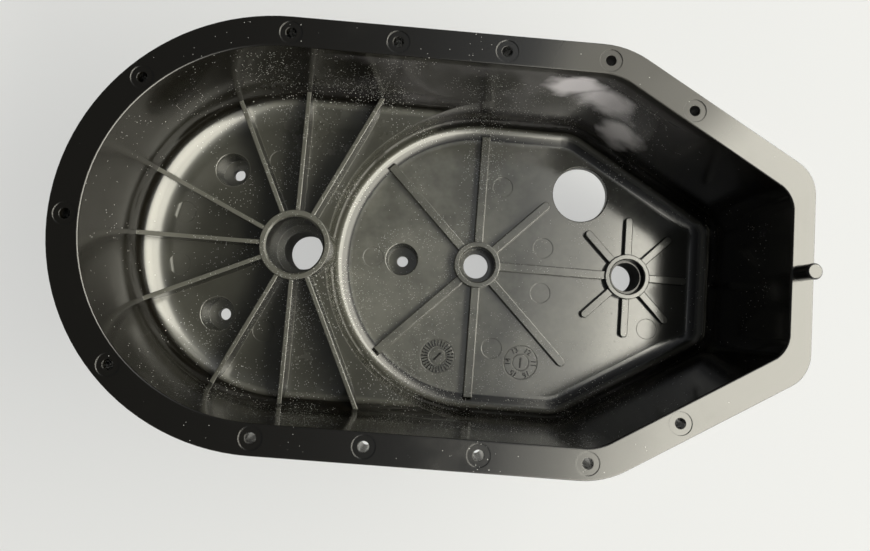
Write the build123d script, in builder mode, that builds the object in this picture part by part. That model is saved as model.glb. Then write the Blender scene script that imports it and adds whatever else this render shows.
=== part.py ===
from build123d import *
from math import cos, radians, sin
import os

# Gearbox cover of a meat grinder, one injection moulding in black plastic.
# Millimetres. The origin is on the output shaft's axis, on the plane that the
# cover rests on with its open side up. +X runs to the narrow end, +Z to the flange.

# Flange outline: a round end about the output shaft, straight sides, shoulders and a flat end
flange_radius = 66.5
flange_thickness = 4.0
flange_width = 9.5
end_flange_width = 7.0
shoulder_angle = 30.5
shoulder_radius = 28.0
end_corner_radius = 11.5
cavity_corner_radius = 9.5

# Tub: depths are measured down from the flange face
cover_depth = 66.0
round_floor_depth = 41.0
gear_floor_depth = 55.0
wall = 3.0
wall_draft = 0.75
round_floor_fillet = 11.5
gear_floor_fillet = 8.0
flange_edge_fillet = 0.5
flange_rim_fillet = 0.4

# Places along the centre line: from the output shaft's axis to the step, from the idler's axis
# to the shoulders and the pinion's axis, and from the pinion's axis to the narrow end
step_distance = 9.7
shoulder_distance = 37.4
pinion_distance = 58.3
end_distance = 39.5

# Output shaft boss
output_boss_radius = 12.5
output_rim_height = 7.0
output_seat_radius = 10.1
output_seat_depth = 18.0
output_hole_radius = 7.3
output_seat_chamfer = 0.6

# Idler shaft boss
gear_rim_height = 3.0
idler_boss_radius = 8.9
idler_collar = 2.5
idler_seat_radius = 6.75
idler_seat_depth = 7.0
idler_hole_radius = 4.85

# Pinion shaft boss
pinion_boss_radius = 8.7
pinion_seat_radius = 6.7
pinion_seat_depth = 2.5
pinion_hole_radius = 5.6
seat_chamfer = 0.35
rim_edge_fillet = 0.3

# Ribs round the output boss, tall and thin, running into the wall
tall_rib_width = 2.1
tall_rib_drop = 0.2
side_rib_spread = 25.5
end_rib_spread = 24.5

# Ribs round the idler and pinion bosses, low and wide
low_rib_height = 2.1
idler_rib_width = 3.5
idler_rib_climb = 1.8
short_rib_reach = 37.3
pinion_rib_width = 3.1
pinion_rib_reach = 23.5
rib_draft = 1.5
rib_edge_fillet = 0.3
rib_sink = 1.0

# Screw pockets for the mounting ring, round the output shaft
pocket_radius = 6.0
pocket_margin = 2.0
pocket_depth = 8.5
pocket_seat = 2.5
pocket_wall = 2.4
pocket_hole_radius = 2.2
pocket_draft = 2.0
pocket_edge_fillet = 0.5

# Plain hole in the floor
plain_hole_radius = 10.8
plain_hole_margin = 6.9
plain_hole_setback = 19.5
plain_hole_chamfer = 0.3

# Screw holes in the flange, each in a boss under it
screw_hole_radius = 1.65
screw_boss_radius = 4.0
screw_boss_length = 12.0
screw_inset = 5.2
screw_spacing = 33.0
shoulder_screw_setback = 5.1
shoulder_screw_run = 28.3
screw_ring_radius = 3.5
screw_ring_depth = 0.2

# Locating pin on the flange at the narrow end
pin_radius = 2.45
pin_height = 7.0
pin_chamfer = 0.5
pin_inset = 4.1

# Marks left by the mould: ejector pins and date dials
ejector_radius = 3.9
ejector_depth = 0.15
dial_radius = 6.6
dial_core_radius = 3.3
dial_groove = 0.3
dial_depth = 0.2
dial_y = 36.2
dial_offsets = (-12.5, 19.6)

# Levels and places that follow from the sizes above
flange_level = cover_depth
round_floor_level = flange_level - round_floor_depth
gear_floor_level = flange_level - gear_floor_depth
output_rim_level = round_floor_level + output_rim_height
gear_rim_level = gear_floor_level + gear_rim_height
cavity_radius = flange_radius - flange_width
idler_x = step_distance + cavity_radius
pinion_x = idler_x + pinion_distance
shoulder_start = idler_x + shoulder_distance
end_reach = pinion_x + end_distance
idler_rib_reach = cavity_radius - gear_floor_fillet + idler_rib_climb
pocket_circle_radius = cavity_radius - round_floor_fillet - pocket_margin - pocket_radius
plain_hole_x = pinion_x - plain_hole_setback
plain_hole_y = cavity_radius - gear_floor_fillet - plain_hole_margin - plain_hole_radius
shell_inset = flange_width - wall
shell_end_inset = end_flange_width - wall
screw_radius = flange_radius - screw_inset
straight_overlap = 10.0


def full_outline(level, round_x, inset, end_inset, corner_radius):
    """The flange's outline, moved inwards by the insets, with its round end about round_x."""
    slope = radians(shoulder_angle)
    half = flange_radius - inset
    end_x = end_reach - end_inset
    shoulder_offset = shoulder_start * sin(slope) + flange_radius * cos(slope) - inset
    shoulder_x = (shoulder_offset - half * cos(slope)) / sin(slope)
    corner_y = (shoulder_offset - end_x * sin(slope)) / cos(slope)
    with BuildSketch(Plane.XY.offset(level)) as sketch:
        with BuildLine():
            CenterArc((round_x, 0), half, 90, 180)
            Polyline(
                (round_x, -half),
                (shoulder_x, -half),
                (end_x, -corner_y),
                (end_x, corner_y),
                (shoulder_x, half),
                (round_x, half),
            )
        make_face()
        fillet(sketch.vertices().group_by(Axis.X)[-2], shoulder_radius - inset)
        fillet(sketch.vertices().group_by(Axis.X)[-1], corner_radius)
    return sketch.sketch


def round_outline(level, inset):
    """The round end alone, with straight sides that run on past the idler shaft."""
    half = flange_radius - inset
    open_x = idler_x + straight_overlap
    with BuildSketch(Plane.XY.offset(level)) as sketch:
        with BuildLine():
            CenterArc((0, 0), half, 90, 180)
            Polyline((0, -half), (open_x, -half), (open_x, half), (0, half))
        make_face()
    return sketch.sketch


def tub(sketch, depth, floor_fillet, open_end):
    """A drafted block that hangs from its outline and has a rounded lower edge."""
    with BuildPart() as block:
        add(sketch)
        extrude(amount=depth, dir=(0, 0, -1), taper=wall_draft)
        lower_edges = block.faces().sort_by(Axis.Z)[0].edges().sort_by(Axis.X)
        if open_end:
            lower_edges = lower_edges[:-1]
        fillet(lower_edges, floor_fillet)
    return block.part


def rib(foot_level, top_level, angle, reach, width, free_end):
    """A drafted bar with softened upper edges, from a boss's axis outwards."""
    with BuildPart() as bar:
        with BuildSketch(Plane.XY.offset(foot_level)):
            if free_end:
                half_length = (reach - width / 2) / 2
                with PolarLocations(half_length, 1, angle):
                    SlotCenterToCenter(2 * half_length, width)
            else:
                Rectangle(reach, width, rotation=angle, align=(Align.MIN, Align.CENTER))
        extrude(amount=top_level - foot_level, taper=rib_draft)
        fillet(bar.faces().sort_by(Axis.Z)[-1].edges(), rib_edge_fillet)
    return bar.part


def boss(bottom_level, top_level, radius):
    """A round boss with a softened upper edge."""
    with BuildPart() as post:
        with BuildSketch(Plane.XY.offset(bottom_level)):
            Circle(radius)
        extrude(amount=top_level - bottom_level)
        fillet(post.edges().sort_by(Axis.Z)[-1], rim_edge_fillet)
        chamfer(post.edges().sort_by(Axis.Z)[0], seat_chamfer)
    return post.part


def mouth(builder, x, y, level):
    """The smallest circular edge about a vertical axis at a level."""
    circles = builder.edges().filter_by(GeomType.CIRCLE).filter_by_position(Axis.Z, level, level)
    circles = circles.filter_by(lambda edge: (edge.arc_center - Vector(x, y, level)).length < 0.1)
    return circles.sort_by(SortBy.RADIUS)[0]


# Inside and outside of the tub. The upper floor lies round the output boss, and the
# lower floor, under the other two shafts, begins at a step concentric with the idler.
round_cavity = tub(round_outline(flange_level, flange_width), round_floor_depth, round_floor_fillet, True)
gear_cavity = tub(
    full_outline(flange_level, idler_x, flange_width, end_flange_width, cavity_corner_radius),
    gear_floor_depth,
    gear_floor_fillet,
    False,
)
round_shell = tub(
    round_outline(flange_level, shell_inset), round_floor_depth + wall, round_floor_fillet + wall, True
)
rib_limit = tub(
    round_outline(flange_level, flange_width - rib_sink),
    round_floor_depth + rib_sink,
    round_floor_fillet + rib_sink,
    True,
)
gear_shell = tub(
    full_outline(flange_level, idler_x, shell_inset, shell_end_inset, cavity_corner_radius + wall),
    gear_floor_depth + wall,
    gear_floor_fillet + wall,
    False,
)

# Tall ribs of the round end. They start at the output shaft, run into the wall and are
# cut off inside its thickness, so that none of them shows on the outside.
tall_foot = round_floor_level - wall / 2
tall_top = output_rim_level - tall_rib_drop
tall_reach = (flange_radius - shell_inset) / cos(radians(side_rib_spread))
tall_angles = [180 + turn for turn in (-end_rib_spread, 0, end_rib_spread)]
for side_angle in (90, 270):
    tall_angles += [side_angle + turn for turn in (-side_rib_spread, 0, side_rib_spread)]
with BuildPart() as tall_ribs:
    for angle in tall_angles:
        add(rib(tall_foot, tall_top, angle, tall_reach, tall_rib_width, False))
    add(rib_limit, mode=Mode.INTERSECT)

# Places of the screws in the flange and of the pockets in the floors
slope = radians(shoulder_angle)
shoulder_screw_x = shoulder_start + shoulder_screw_run * cos(slope) - screw_inset * sin(slope)
shoulder_screw_y = flange_radius - shoulder_screw_run * sin(slope) - screw_inset * cos(slope)
screw_places = [(-screw_radius, 0)]
for side in (1, -1):
    screw_places.append((-screw_radius * cos(radians(45)), side * screw_radius * sin(radians(45))))
    for screw_x in (0, screw_spacing, idler_x, shoulder_start - shoulder_screw_setback):
        screw_places.append((screw_x, side * screw_radius))
    screw_places.append((shoulder_screw_x, side * shoulder_screw_y))
upper_pockets = [
    (-pocket_circle_radius * cos(radians(45)), side * pocket_circle_radius * sin(radians(45)))
    for side in (1, -1)
]
lower_pocket = (pocket_circle_radius, 0)

with BuildPart() as gearbox_cover:
    # Flange plate and the outside of the tub
    add(full_outline(flange_level, 0, 0, 0, end_corner_radius))
    extrude(amount=flange_thickness, dir=(0, 0, -1))
    add(round_shell)
    add(gear_shell)

    # Bosses that stand out below: flange screws and pocket screws
    with BuildSketch(Plane.XY.offset(flange_level - screw_boss_length)):
        with Locations(*screw_places):
            Circle(screw_boss_radius)
    extrude(amount=screw_boss_length - flange_thickness / 2)
    with BuildSketch(Plane.XY.offset(round_floor_level - pocket_depth - pocket_seat)):
        with Locations(*upper_pockets):
            Circle(pocket_radius + pocket_wall)
    extrude(amount=pocket_depth + pocket_seat - wall / 2)
    with BuildSketch(Plane.XY.offset(gear_floor_level - pocket_depth - pocket_seat)):
        with Locations(lower_pocket):
            Circle(pocket_radius + pocket_wall)
    extrude(amount=pocket_depth + pocket_seat - wall / 2)

    # Hollow of the tub, and the softened inner edge of the flange
    add(round_cavity, mode=Mode.SUBTRACT)
    add(gear_cavity, mode=Mode.SUBTRACT)
    flange_face = gearbox_cover.faces().sort_by(Axis.Z)[-1]
    fillet(flange_face.inner_wires()[0].edges(), flange_edge_fillet)
    flange_face = gearbox_cover.faces().filter_by(Axis.Z).sort_by(Axis.Z)[-1]
    fillet(flange_face.outer_wire().edges(), flange_rim_fillet)

    # Shaft bosses
    add(boss(0, output_rim_level, output_boss_radius))
    with Locations((idler_x, 0)):
        add(boss(gear_floor_level - wall - idler_collar, gear_rim_level, idler_boss_radius))
    with Locations((pinion_x, 0)):
        add(boss(0, gear_rim_level, pinion_boss_radius))

    # Tall ribs from the output boss into the wall
    add(tall_ribs.part)

    # Low ribs from the idler boss, one of them joining it to the pinion boss
    low_foot = gear_floor_level - rib_sink
    low_top = gear_floor_level + low_rib_height
    with Locations((idler_x, 0)):
        for angle in (90, 135, 225, 270):
            add(rib(low_foot, low_top, angle, idler_rib_reach, idler_rib_width, False))
        add(rib(low_foot, low_top, 315, idler_rib_reach, idler_rib_width, True))
        add(rib(low_foot, low_top, 45, short_rib_reach, idler_rib_width, True))
        add(rib(low_foot, low_top, 0, pinion_distance, idler_rib_width, False))

    # Short ribs round the pinion boss
    with Locations((pinion_x, 0)):
        for angle in (-135, -90, -45, 0, 45, 90, 135):
            add(rib(low_foot, low_top, angle, pinion_rib_reach, pinion_rib_width, True))

    # Bores: a seat for each bush and a smaller hole through its floor
    with Locations((0, 0, output_rim_level)):
        CounterBoreHole(output_hole_radius, output_seat_radius, output_seat_depth)
    with Locations((idler_x, 0, gear_rim_level)):
        CounterBoreHole(idler_hole_radius, idler_seat_radius, idler_seat_depth)
    with Locations((pinion_x, 0, gear_rim_level)):
        CounterBoreHole(pinion_hole_radius, pinion_seat_radius, pinion_seat_depth)

    # Lead-in chamfers on the seats
    chamfer(mouth(gearbox_cover, 0, 0, output_rim_level), output_seat_chamfer)
    chamfer(mouth(gearbox_cover, idler_x, 0, gear_rim_level), seat_chamfer)
    chamfer(mouth(gearbox_cover, pinion_x, 0, gear_rim_level), seat_chamfer)

    # Screw pockets, tapered, with a hole in the seat
    for floor_level, places in ((round_floor_level, upper_pockets), (gear_floor_level, [lower_pocket])):
        with BuildSketch(Plane.XY.offset(floor_level)):
            with Locations(*places):
                Circle(pocket_radius)
        extrude(amount=pocket_depth, dir=(0, 0, -1), taper=pocket_draft, mode=Mode.SUBTRACT)
        with Locations(*[(x, y, floor_level - pocket_depth) for x, y in places]):
            Hole(pocket_hole_radius, pocket_seat)

        for x, y in places:
            fillet(mouth(gearbox_cover, x, y, floor_level), pocket_edge_fillet)

    # Plain hole in the lower floor
    with Locations((plain_hole_x, plain_hole_y, gear_floor_level)):
        Hole(plain_hole_radius, wall)
    chamfer(mouth(gearbox_cover, plain_hole_x, plain_hole_y, gear_floor_level), plain_hole_chamfer)

    # Screw holes, each with the ring that the ejector sleeve leaves
    with Locations(*[(x, y, flange_level) for x, y in screw_places]):
        CounterBoreHole(screw_hole_radius, screw_ring_radius, screw_ring_depth, screw_boss_length)

    # Locating pin
    with BuildSketch(Plane.XY.offset(flange_level - flange_thickness / 2)):
        with Locations((end_reach - pin_inset, 0)):
            Circle(pin_radius)
    extrude(amount=pin_height + flange_thickness / 2)
    chamfer(gearbox_cover.edges().sort_by(Axis.Z)[-1], pin_chamfer)

    # Ejector marks on the two floors
    with BuildSketch(Plane.XY.offset(gear_floor_level)):
        with Locations((26.4, 0), (92.2, 8.8), (92.2, -8.8), (74.8, 31.6), (74.8, -31.6), (134.5, -19.5)):
            Circle(ejector_radius)
    extrude(amount=ejector_depth, dir=(0, 0, -1), mode=Mode.SUBTRACT)
    with BuildSketch(Plane.XY.offset(round_floor_level)):
        with Locations((-42, 9.5), (-42, -9.5), (-9.5, 31.2), (-9.5, -31.2)):
            Circle(ejector_radius)
    extrude(amount=ejector_depth, dir=(0, 0, -1), mode=Mode.SUBTRACT)

    # Date dials: two rings and a pointer
    with BuildSketch(Plane.XY.offset(gear_floor_level)):
        with Locations(*[(idler_x + offset, -dial_y) for offset in dial_offsets]):
            for radius in (dial_radius, dial_core_radius):
                Circle(radius)
                Circle(radius - dial_groove, mode=Mode.SUBTRACT)
    extrude(amount=dial_depth, dir=(0, 0, -1), mode=Mode.SUBTRACT)

gearbox_cover.part.label = "gearbox_cover"
os.makedirs("parts", exist_ok=True)
export_step(gearbox_cover.part, "parts/gearbox_cover.step")
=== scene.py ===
import bpy
from math import cos, radians, sin, tan
from mathutils import Matrix, Vector


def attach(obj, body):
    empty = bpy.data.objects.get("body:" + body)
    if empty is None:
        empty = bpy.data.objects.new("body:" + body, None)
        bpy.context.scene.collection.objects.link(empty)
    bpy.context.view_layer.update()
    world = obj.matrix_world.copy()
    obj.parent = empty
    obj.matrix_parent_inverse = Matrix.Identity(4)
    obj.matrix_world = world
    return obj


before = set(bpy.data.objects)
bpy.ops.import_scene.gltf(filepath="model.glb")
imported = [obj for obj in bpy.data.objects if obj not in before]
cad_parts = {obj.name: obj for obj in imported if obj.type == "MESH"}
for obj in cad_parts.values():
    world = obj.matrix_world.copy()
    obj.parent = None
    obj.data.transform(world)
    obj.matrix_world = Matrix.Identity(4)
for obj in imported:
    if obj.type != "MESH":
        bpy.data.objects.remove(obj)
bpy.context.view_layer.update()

# The camera. It looks down into the open side of the cover from a quarter of a metre
# above the table, over the middle of the tub and a little to its front, level with the
# table to within five degrees.
camera_place = (0.04648, -0.02424, 0.24901)
camera_turn = (0.0778, -0.0246, 0.0788)
focal_share = 0.70664
sensor_width = 36.0
nearest_seen = 0.01
camera_data = bpy.data.cameras.new("camera")
camera_data.sensor_width = sensor_width
camera_data.lens = focal_share * sensor_width
camera_data.clip_start = nearest_seen
camera = bpy.data.objects.new("camera", camera_data)
camera.location = camera_place
camera.rotation_euler = camera_turn
bpy.context.scene.collection.objects.link(camera)
bpy.context.scene.camera = camera
bpy.context.scene.view_settings.view_transform = "Standard"


# The table. A sheet of matt white paper that the cover lies on, lit by the window at the
# cover's narrow end. Its own glow, which only the camera sees, stands for the bright
# background. It keeps the cover's shadow.
def add_node(tree, kind, **settings):
    made = tree.nodes.new(kind)
    for name, value in settings.items():
        setattr(made, name, value)
    return made


def set_inputs(made, **values):
    for name, value in values.items():
        made.inputs[name.replace("_", " ")].default_value = value
    return made


def math_node(tree, operation, *values):
    """A sum on one to three values, each a plain number or another node's socket."""
    made = add_node(tree, "ShaderNodeMath", operation=operation)
    for socket, value in zip(made.inputs, values):
        if isinstance(value, (int, float)):
            socket.default_value = value
        else:
            tree.links.new(value, socket)
    return made.outputs[0]


def new_material(name):
    material = bpy.data.materials.new(name)
    material.use_nodes = True
    tree = material.node_tree
    tree.nodes.clear()
    return material, tree, add_node(tree, "ShaderNodeOutputMaterial")


table_reach = 3.0
paper_tone = (0.8, 0.8, 0.775, 1.0)
paper_shown = (0.83, 0.835, 0.82, 1.0)
paper_glow = 0.62
paper, tree, output = new_material("white_paper")
matt = set_inputs(add_node(tree, "ShaderNodeBsdfDiffuse"), Color=paper_tone)
glow = set_inputs(add_node(tree, "ShaderNodeEmission"), Color=paper_shown, Strength=1.0)
seen = add_node(tree, "ShaderNodeLightPath")
glow_share = math_node(tree, "MULTIPLY", seen.outputs["Is Camera Ray"], paper_glow)
blend = add_node(tree, "ShaderNodeMixShader")
tree.links.new(glow_share, blend.inputs[0])
tree.links.new(matt.outputs[0], blend.inputs[1])
tree.links.new(glow.outputs[0], blend.inputs[2])
tree.links.new(blend.outputs[0], output.inputs["Surface"])
table_corners = [
    (-table_reach, -table_reach, 0.0),
    (table_reach, -table_reach, 0.0),
    (table_reach, table_reach, 0.0),
    (-table_reach, table_reach, 0.0),
]
table_mesh = bpy.data.meshes.new("table")
table_mesh.from_pydata(table_corners, [], [(0, 1, 2, 3)])
table_mesh.materials.append(paper)
table = bpy.data.objects.new("table", table_mesh)
bpy.context.scene.collection.objects.link(table)


# The light. One wide window beyond the narrow end, in a dim room that grows brighter
# towards it. A low matt lamp shades the cover, and five panes that only gloss sees give
# the window's mirror image, which fades out where their tops step up.
def window(name, low, high, width, distance, brightness, tint):
    """A lamp that spans the heights from low to high, in degrees seen from the cover."""
    rise = radians((low + high) / 2)
    away = Vector((
        cos(rise) * cos(window_turn),
        cos(rise) * sin(window_turn),
        sin(rise),
    ))
    data = bpy.data.lights.new(name, "AREA")
    data.shape = "RECTANGLE"
    data.size = width
    data.size_y = 2 * distance * tan(radians((high - low) / 2))
    data.energy = 4 * data.size * data.size_y * brightness
    data.color = tint
    lamp = bpy.data.objects.new(name, data)
    lamp.location = away * distance + window_aim
    lamp.rotation_euler = away.to_track_quat("Z", "Y").to_euler()
    bpy.context.scene.collection.objects.link(lamp)
    return lamp


def between(tree, value, low, high):
    """Low where the value is 0 and high where it is 1."""
    return math_node(tree, "MULTIPLY_ADD", value, high - low, low)


window_turn = radians(-6)
window_aim = Vector((0.05, 0, 0))
matt_lamp = window(
    "window",
    low=12,
    high=48,
    width=5.0,
    distance=1.8,
    brightness=5.2,
    tint=(1.0, 0.985, 0.93),
)
matt_lamp.visible_glossy = False

pane_foot = 19
pane_distance = 1.77
pane_spacing = 0.03
pane_tint = (1.0, 0.965, 0.83)
# Each pane's top in degrees, its width in metres and its brightness.
panes = (
    (67, 3.6, 1.7),
    (71.5, 3.8, 2.2),
    (73, 4.0, 1.0),
    (76.5, 4.4, 0.5),
    (80, 6.4, 0.8),
)
for number, (top, width, brightness) in enumerate(panes):
    pane = window(
        f"window_image_{number}",
        low=pane_foot,
        high=top,
        width=width,
        distance=pane_distance - pane_spacing * number,
        brightness=brightness,
        tint=pane_tint,
    )
    pane.visible_diffuse = False

room_tone = (0.94, 0.97, 1.0, 1.0)
room_least = 0.075
room_level = -1.6
room_growth = 6.3
room_most = 0.55
room_matt_share = 0.12
room_shown = 0.8
world = bpy.data.worlds.new("room")
world.use_nodes = True
tree = world.node_tree
room = set_inputs(tree.nodes["Background"], Color=room_tone)
way = add_node(tree, "ShaderNodeSeparateXYZ")
tree.links.new(add_node(tree, "ShaderNodeTexCoord").outputs["Generated"], way.inputs[0])
growing = math_node(tree, "MULTIPLY_ADD", way.outputs["X"], room_growth, room_level)
growing = math_node(tree, "MINIMUM", math_node(tree, "EXPONENT", growing), room_most)
seen = add_node(tree, "ShaderNodeLightPath")
gloss_share = between(tree, seen.outputs["Is Glossy Ray"], room_matt_share, 1.0)
lighting = math_node(tree, "MULTIPLY_ADD", growing, gloss_share, room_least)
backdrop = math_node(tree, "MULTIPLY", seen.outputs["Is Camera Ray"], room_shown)
tree.links.new(math_node(tree, "MAXIMUM", lighting, backdrop), room.inputs["Strength"])
bpy.context.scene.world = world


# The cover. One injection moulding in black plastic. The walls and the flange are
# polished and the floors have a fine grain. A cloudy film, greasy haze and pale dust lie
# on it, and the dial marks' tops are clean.
def ramp(tree, value, low, high):
    """0 below low, 1 above high, smooth between. Low may be above high."""
    made = add_node(tree, "ShaderNodeMapRange", interpolation_type="SMOOTHSTEP")
    rising = low < high
    set_inputs(
        made,
        From_Min=min(low, high),
        From_Max=max(low, high),
        To_Min=0.0 if rising else 1.0,
        To_Max=1.0 if rising else 0.0,
    )
    tree.links.new(value, made.inputs["Value"])
    return made.outputs["Result"]


def product(tree, value, *others):
    for other in others:
        value = math_node(tree, "MULTIPLY", value, other)
    return value


def greatest(tree, value, *others):
    for other in others:
        value = math_node(tree, "MAXIMUM", value, other)
    return value


def rest(tree, value):
    """What the value leaves of 1."""
    return math_node(tree, "SUBTRACT", 1.0, value)


def vector_node(tree, operation, *values):
    """The same as math_node, for places and colours."""
    made = add_node(tree, "ShaderNodeVectorMath", operation=operation)
    for socket, value in zip(made.inputs, values):
        if isinstance(value, tuple):
            socket.default_value = value
        else:
            tree.links.new(value, socket)
    return made


def noise(tree, place, scale, detail, roughness, result="Fac"):
    made = add_node(tree, "ShaderNodeTexNoise")
    set_inputs(made, Scale=scale, Detail=detail, Roughness=roughness)
    tree.links.new(place, made.inputs["Vector"])
    return made.outputs[result]


def specks(tree, place, scale, size, share, core=0.6, faintest=0.4):
    """Small round specks, faint to full, in a share of the cells of a random pattern."""
    cells = set_inputs(add_node(tree, "ShaderNodeTexVoronoi"), Scale=scale)
    tree.links.new(place, cells.inputs["Vector"])
    near = ramp(tree, cells.outputs["Distance"], size, size * core)
    pick = add_node(tree, "ShaderNodeSeparateColor")
    tree.links.new(cells.outputs["Color"], pick.inputs[0])
    chosen = math_node(tree, "LESS_THAN", pick.outputs[0], share)
    return product(tree, near, chosen, between(tree, pick.outputs[1], faintest, 1.0))


def patch(tree, place, centre, reach, core=0.35):
    """1 in the core of a soft oval patch, 0 outside it."""
    off = vector_node(tree, "SUBTRACT", place, centre).outputs[0]
    share = vector_node(tree, "DIVIDE", off, reach).outputs[0]
    length = vector_node(tree, "LENGTH", share).outputs["Value"]
    return ramp(tree, length, 1.0, core)


def colour_mix(tree, factor, first, second):
    made = add_node(tree, "ShaderNodeMix", data_type="RGBA")
    tree.links.new(factor, made.inputs["Factor"])
    for socket, value in ((made.inputs[6], first), (made.inputs[7], second)):
        if isinstance(value, tuple):
            socket.default_value = value
        else:
            tree.links.new(value, socket)
    return made.outputs[2]


# Where each finish lies on the cover. A pair says where a mask is 0 and where it is 1, in
# metres. For the way that a surface faces it is a share of straight up.
flat = (0.9, 0.99)
fairly_flat = (0.6, 0.8)
steep = (0.6, 0.3)
under_flange = (0.064, 0.062)
under_walls = (0.038, 0.036)
under_step = (0.022, 0.018)
under_round_floor = (0.0262, 0.0256)
before_gears = (0.05, 0.045)
over_round_floor = (0.0265, 0.028)
over_gear_floor = (0.0122, 0.0128)
under_gear_bosses = (0.0155, 0.0145)
over_mark_foot = (0.01105, 0.01115)
under_low_ribs = (0.0122, 0.0118)
facing_in = (0.012, 0.004)
tub_middle = 0.05
plastic, tree, output = new_material("black_plastic")
place = add_node(tree, "ShaderNodeTexCoord").outputs["Object"]
split = add_node(tree, "ShaderNodeSeparateXYZ")
tree.links.new(place, split.inputs[0])
at_x, at_y, at_z = split.outputs
facing = add_node(tree, "ShaderNodeSeparateXYZ")
tree.links.new(add_node(tree, "ShaderNodeNewGeometry").outputs["Normal"], facing.inputs[0])
facing_x, facing_y, facing_z = facing.outputs
below_flange = ramp(tree, at_z, *under_flange)
faces_up = ramp(tree, facing_z, *flat)
on_floor = product(tree, faces_up, ramp(tree, at_z, *under_walls))
on_gear_floor = product(tree, on_floor, ramp(tree, at_z, *under_step))
on_flats = product(tree, ramp(tree, facing_z, *fairly_flat), below_flange)
# Painted light: the steep slope of the step down to the gear floor, which takes the
# floors' lighter grained tone for the light that it catches.
painted_light_on_step = product(
    tree, ramp(tree, at_z, *under_round_floor), ramp(tree, at_x, *before_gears)
)
high_tops = product(tree, ramp(tree, at_z, *over_round_floor), below_flange)
low_tops = product(
    tree, ramp(tree, at_z, *over_gear_floor), ramp(tree, at_z, *under_gear_bosses)
)
on_tops = product(tree, greatest(tree, high_tops, low_tops), on_flats)
on_marks = product(
    tree, ramp(tree, at_z, *over_mark_foot), ramp(tree, at_z, *under_low_ribs), on_flats
)
across = product(tree, facing_y, at_y)
along = product(tree, facing_x, math_node(tree, "SUBTRACT", at_x, tub_middle))
inside = ramp(tree, math_node(tree, "ADD", across, along), *facing_in)

# The bare plastic, and the cloudy film on the floors and on the tops of the ribs. By the
# wall at the narrow end the film fades out, as painted shade of that wall on the floor.
black = (0.0048, 0.0041, 0.0025, 1.0)
grained_black = (0.047, 0.0462, 0.035, 1.0)
film_tone = (0.25, 0.247, 0.205, 1.0)
cloud_texture = (45, 4, 0.6)
cloud_edge = (0.35, 0.7)
film_least = 0.4
film_on_round_floor = 0.15
film_on_tops = 0.45
# Painted shade: the film ends before the wall at the narrow end, so the floor there stays
# dark as if in the shade of that wall.
film_end_painted_shade = (0.141, 0.125)
cloud = ramp(tree, noise(tree, place, *cloud_texture), *cloud_edge)
film_and_painted_shade = product(
    tree,
    between(tree, cloud, film_least, 1.0),
    between(tree, on_gear_floor, film_on_round_floor, 1.0),
    on_flats,
    ramp(tree, at_x, *film_end_painted_shade),
)
film_and_painted_shade = greatest(tree, film_and_painted_shade, product(tree, on_tops, film_on_tops))
# The step's slope takes the grained tone here as painted light.
ground = colour_mix(tree, greatest(tree, on_flats, painted_light_on_step), black, grained_black)
ground = colour_mix(tree, film_and_painted_shade, ground, film_tone)
ground = colour_mix(tree, on_marks, ground, black)

# The greasy haze on the inside of the back wall: faint all over but for three wiped
# spots, and thick in three patches near the narrow end. Each spot or patch has its middle
# and its reach.
haze_tone = (0.85, 0.81, 0.83, 1.0)
haze_least = 0.015
haze_most = 0.09
haze_in_patches = 0.95
haze_start = (-0.01, 0.035)
back_wall = (0.03, 0.05)
wiped_spots = (
    ((0.0637, 0.057, 0.0504), (0.012, 0.02, 0.014)),
    ((0.0873, 0.057, 0.0427), (0.014, 0.02, 0.008)),
    ((0.0156, 0.057, 0.0512), (0.014, 0.02, 0.014)),
)
haze_patches = (
    ((0.090, 0.057, 0.055), (0.013, 0.02, 0.009)),
    ((0.102, 0.055, 0.047), (0.013, 0.02, 0.012)),
    ((0.112, 0.050, 0.031), (0.010, 0.02, 0.011)),
)
bend = 0.02
bend_texture = (60, 3, 0.5)
wave = noise(tree, place, *bend_texture, result="Color")
centred = vector_node(tree, "SUBTRACT", place, (bend / 2, 0.0, bend / 2)).outputs[0]
bent = vector_node(tree, "MULTIPLY_ADD", wave, (bend, 0.0, bend), centred)
bent_place = bent.outputs[0]
haze = between(tree, cloud, haze_least, haze_most)
haze = product(tree, haze, ramp(tree, at_x, *haze_start))
for centre, reach in wiped_spots:
    haze = product(tree, haze, rest(tree, patch(tree, bent_place, centre, reach)))
for centre, reach in haze_patches:
    thick = product(tree, patch(tree, bent_place, centre, reach), haze_in_patches)
    haze = greatest(tree, haze, thick)
on_back_wall = product(tree, ramp(tree, at_y, *back_wall), below_flange, inside)
haze = product(tree, haze, on_back_wall, ramp(tree, facing_z, *steep))
ground = colour_mix(tree, haze, ground, haze_tone)

# Pale dust, in fine specks and in crumbs. It drifts about the middle of the tub, heaps up
# in six places and on the tops of the ribs, and hardly clings to the flange and outside.
dust_tone = (0.75, 0.75, 0.70, 1.0)
dust_start = (-0.05, -0.015)
dust_end = (0.135, 0.1)
dust_on_flange = 0.12
dust_at_ends = 0.15
dust_outside = 0.1
dust_on_tops = 0.35
dust_in_heaps = 0.7
dust_heaps = (
    ((0.012, -0.014, 0.03), (0.028, 0.024, 0.03)),
    ((0.066, 0.040, 0.013), (0.010, 0.026, 0.02)),
    ((0.045, -0.045, 0.02), (0.030, 0.016, 0.03)),
    ((0.075, -0.042, 0.011), (0.010, 0.014, 0.01)),
    ((0.020, 0.055, 0.04), (0.020, 0.020, 0.02)),
    ((0.112, 0.052, 0.045), (0.020, 0.020, 0.02)),
)
drift_texture = (55, 4, 0.6)
drift_edge = (0.42, 0.7)
powder_scale = 1800
powder_size = 0.3
powder_share = 0.6
crumb_scale = 800
crumb_size = 0.18
crumb_share = 0.2
about_middle = product(tree, ramp(tree, at_x, *dust_start), ramp(tree, at_x, *dust_end))
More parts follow.
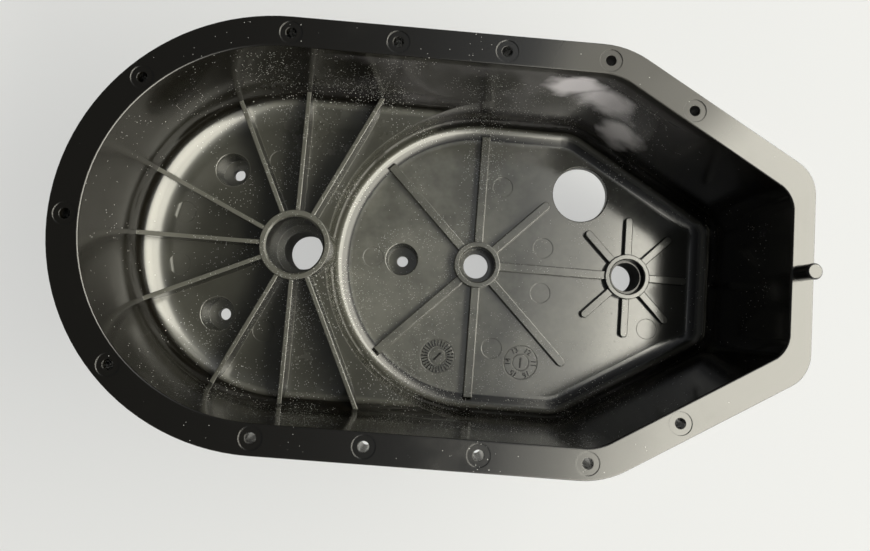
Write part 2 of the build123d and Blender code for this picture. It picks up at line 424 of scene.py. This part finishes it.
clinging = product(
    tree,
    between(tree, below_flange, dust_on_flange, 1.0),
    between(tree, about_middle, dust_at_ends, 1.0),
    between(tree, inside, dust_outside, 1.0),
)
heaped = product(tree, on_tops, dust_on_tops)
for centre, reach in dust_heaps:
    heaped = greatest(tree, heaped, patch(tree, bent_place, centre, reach))
drift = ramp(tree, noise(tree, place, *drift_texture), *drift_edge)
drift = math_node(tree, "MULTIPLY_ADD", heaped, dust_in_heaps, drift)
drift = product(tree, drift, clinging)
powdered = product(tree, drift, powder_share)
crumbled = product(tree, drift, crumb_share)
powder = specks(tree, place, powder_scale, powder_size, powdered)
crumbs = specks(tree, place, crumb_scale, crumb_size, crumbled)
lying = greatest(tree, powder, crumbs)
colour = colour_mix(tree, lying, ground, dust_tone)

# The gloss. A polished skin, smeared here and there, rubbed dull on one corner of the
# flange and killed by the dust. Edges are softened and the floors have a moulded grain.
polished = 0.17
smeared = 0.29
smear_texture = (30, 5, 0.65)
smear_edge = (0.5, 0.75)
floor_change = 0.04
gear_floor_change = -0.09
rubbed_change = 0.3
rubbed_corner = ((0.112, 0.056, 0.066), (0.042, 0.03, 0.01))
dust_roughness = 0.8
grain_texture = (2200, 2, 0.6)
grain_height = 0.00003
grain_strength = 0.5
edge_radius = 0.0003
edge_samples = 4
wall_coat = 0.5
coat_roughness = 0.12
refraction = 1.55
smear = ramp(tree, noise(tree, place, *smear_texture), *smear_edge)
rubbed = patch(tree, place, *rubbed_corner)
roughness = between(tree, smear, polished, smeared)
for where, change in (
    (on_floor, floor_change),
    (on_gear_floor, gear_floor_change),
    (rubbed, rubbed_change),
):
    roughness = math_node(tree, "MULTIPLY_ADD", where, change, roughness)
roughness = greatest(tree, roughness, product(tree, lying, dust_roughness))
dulled = math_node(tree, "SUBTRACT", product(tree, faces_up, below_flange), on_gear_floor)
dulled = greatest(tree, dulled, rubbed, on_marks, lying)
coating = product(tree, between(tree, on_gear_floor, wall_coat, 1.0), rest(tree, dulled))
edge = add_node(tree, "ShaderNodeBevel", samples=edge_samples)
set_inputs(edge, Radius=edge_radius)
grain = add_node(tree, "ShaderNodeBump")
set_inputs(grain, Distance=grain_height, Strength=grain_strength)
grained = product(tree, noise(tree, place, *grain_texture), on_floor)
tree.links.new(grained, grain.inputs["Height"])
tree.links.new(edge.outputs[0], grain.inputs["Normal"])
shader = add_node(tree, "ShaderNodeBsdfPrincipled")
set_inputs(shader, IOR=refraction, Coat_Roughness=coat_roughness, Coat_IOR=refraction)
tree.links.new(colour, shader.inputs["Base Color"])
tree.links.new(roughness, shader.inputs["Roughness"])
tree.links.new(grain.outputs[0], shader.inputs["Normal"])
tree.links.new(coating, shader.inputs["Coat Weight"])
tree.links.new(edge.outputs[0], shader.inputs["Coat Normal"])
tree.links.new(shader.outputs[0], output.inputs["Surface"])
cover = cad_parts["gearbox_cover"]
cover.data.materials.clear()
cover.data.materials.append(plastic)


# The first date dial. A ring of short strokes on the gear floor, moulded with the cover
# from an insert in the tool. They stand a quarter of a millimetre proud and reach as far
# into the floor.
def ride_cover(name, mesh):
    piece = bpy.data.objects.new(name, mesh)
    mesh.materials.clear()
    mesh.materials.append(plastic)
    bpy.context.scene.collection.objects.link(piece)
    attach(piece, "root")
    return piece


def take_mesh(carrier):
    """The finished mesh of an object, which is then deleted."""
    bpy.context.scene.collection.objects.link(carrier)
    shaped = carrier.evaluated_get(bpy.context.evaluated_depsgraph_get())
    mesh = bpy.data.meshes.new_from_object(shaped)
    bpy.data.objects.remove(carrier)
    return mesh


gear_floor = 0.011
mark_height = 0.00025
stroke_dial = Vector((0.0542, -0.0362, gear_floor))
stroke_sizes = {
    "Count": ("NodeSocketInt", 28),
    "Ring Radius": ("NodeSocketFloat", 0.0050),
    "Stroke Size": ("NodeSocketVector", (0.0024, 0.0004, 2 * mark_height)),
}
strokes = bpy.data.node_groups.new("strokes", "GeometryNodeTree")
identifiers = {}
for name, (kind, value) in stroke_sizes.items():
    socket = strokes.interface.new_socket(name, in_out="INPUT", socket_type=kind)
    identifiers[name] = socket.identifier
strokes.interface.new_socket("Geometry", in_out="OUTPUT", socket_type="NodeSocketGeometry")
given = add_node(strokes, "NodeGroupInput").outputs
circle = add_node(strokes, "GeometryNodeMeshCircle")
strokes.links.new(given["Count"], circle.inputs["Vertices"])
strokes.links.new(given["Ring Radius"], circle.inputs["Radius"])
stroke = add_node(strokes, "GeometryNodeMeshCube")
strokes.links.new(given["Stroke Size"], stroke.inputs["Size"])
point = add_node(strokes, "GeometryNodeInputPosition")
outward = add_node(strokes, "FunctionNodeAlignRotationToVector", axis="X")
strokes.links.new(point.outputs[0], outward.inputs["Vector"])
spread = add_node(strokes, "GeometryNodeInstanceOnPoints")
strokes.links.new(circle.outputs["Mesh"], spread.inputs["Points"])
strokes.links.new(stroke.outputs["Mesh"], spread.inputs["Instance"])
strokes.links.new(outward.outputs[0], spread.inputs["Rotation"])
real = add_node(strokes, "GeometryNodeRealizeInstances")
strokes.links.new(spread.outputs[0], real.inputs[0])
coated = set_inputs(add_node(strokes, "GeometryNodeSetMaterial"), Material=plastic)
strokes.links.new(real.outputs[0], coated.inputs["Geometry"])
strokes.links.new(coated.outputs[0], add_node(strokes, "NodeGroupOutput").inputs[0])
carrier = bpy.data.objects.new("carrier", bpy.data.meshes.new("carrier"))
modifier = carrier.modifiers.new("strokes", "NODES")
modifier.node_group = strokes
for name, (kind, value) in stroke_sizes.items():
    modifier[identifiers[name]] = value
stroke_mesh = take_mesh(carrier)
stroke_mesh.transform(Matrix.Translation(stroke_dial))
ride_cover("dial_strokes", stroke_mesh)

# The second date dial. Six plain numbers round a ring, read from its middle, moulded in
# the same way and as high as the strokes.
number_dial = Vector((0.0863, -0.0362, gear_floor))
number_count = 6
first_number = 11
number_ring = 0.0049
number_size = 0.0028
number_swell = 0.00004
number_curve_steps = 3
for position in range(number_count):
    turn = radians(360 / number_count * position)
    text = bpy.data.curves.new(f"number_{position + 1}", "FONT")
    text.body = f"{first_number + position}"
    text.size = number_size
    text.align_x = "CENTER"
    text.align_y = "CENTER"
    text.extrude = mark_height
    text.offset = number_swell
    text.resolution_u = number_curve_steps
    number_mesh = take_mesh(bpy.data.objects.new("carrier", text))
    number_mesh.shade_flat()
    number_place = number_dial + Vector((cos(turn), sin(turn), 0)) * number_ring
    upright = Matrix.Rotation(turn - radians(90), 4, "Z")
    number_mesh.transform(Matrix.Translation(number_place) @ upright)
    ride_cover(f"dial_number_{position + 1}", number_mesh)

# The pointers. A plain arrow in the core of each dial, moulded with the cover from the
# plug in the tool's insert, which is turned with a screwdriver to set the date.
pointer_length = 0.0042
pointer_width = 0.0006
head_length_share = 0.5
head_width_share = 2
pointer_turns = ((stroke_dial, radians(48)), (number_dial, radians(88)))
pointer_points = []
pointer_faces = []
for dial, turn in pointer_turns:
    half = Vector((cos(turn), sin(turn))) * pointer_length / 2
    side = Vector((-sin(turn), cos(turn))) * pointer_width / 2
    head_side = side * head_width_share
    tail = Vector(dial.xy) - half
    tip = Vector(dial.xy) + half
    neck = tip - half * head_length_share
    corners = (
        tail - side,
        neck - side,
        neck - head_side,
        tip,
        neck + head_side,
        neck + side,
        tail + side,
    )
    count = len(corners)
    low = len(pointer_points)
    high = low + count
    for height in (gear_floor - mark_height, gear_floor + mark_height):
        pointer_points.extend((x, y, height) for x, y in corners)
    pointer_faces.append([low + k for k in reversed(range(count))])
    pointer_faces.append([high + k for k in range(count)])
    for k in range(count):
        after = (k + 1) % count
        pointer_faces.append([low + k, low + after, high + after, high + k])
pointer_mesh = bpy.data.meshes.new("dial_pointers")
pointer_mesh.from_pydata(pointer_points, [], pointer_faces)
ride_cover("dial_pointers", pointer_mesh)

bpy.context.view_layer.update()
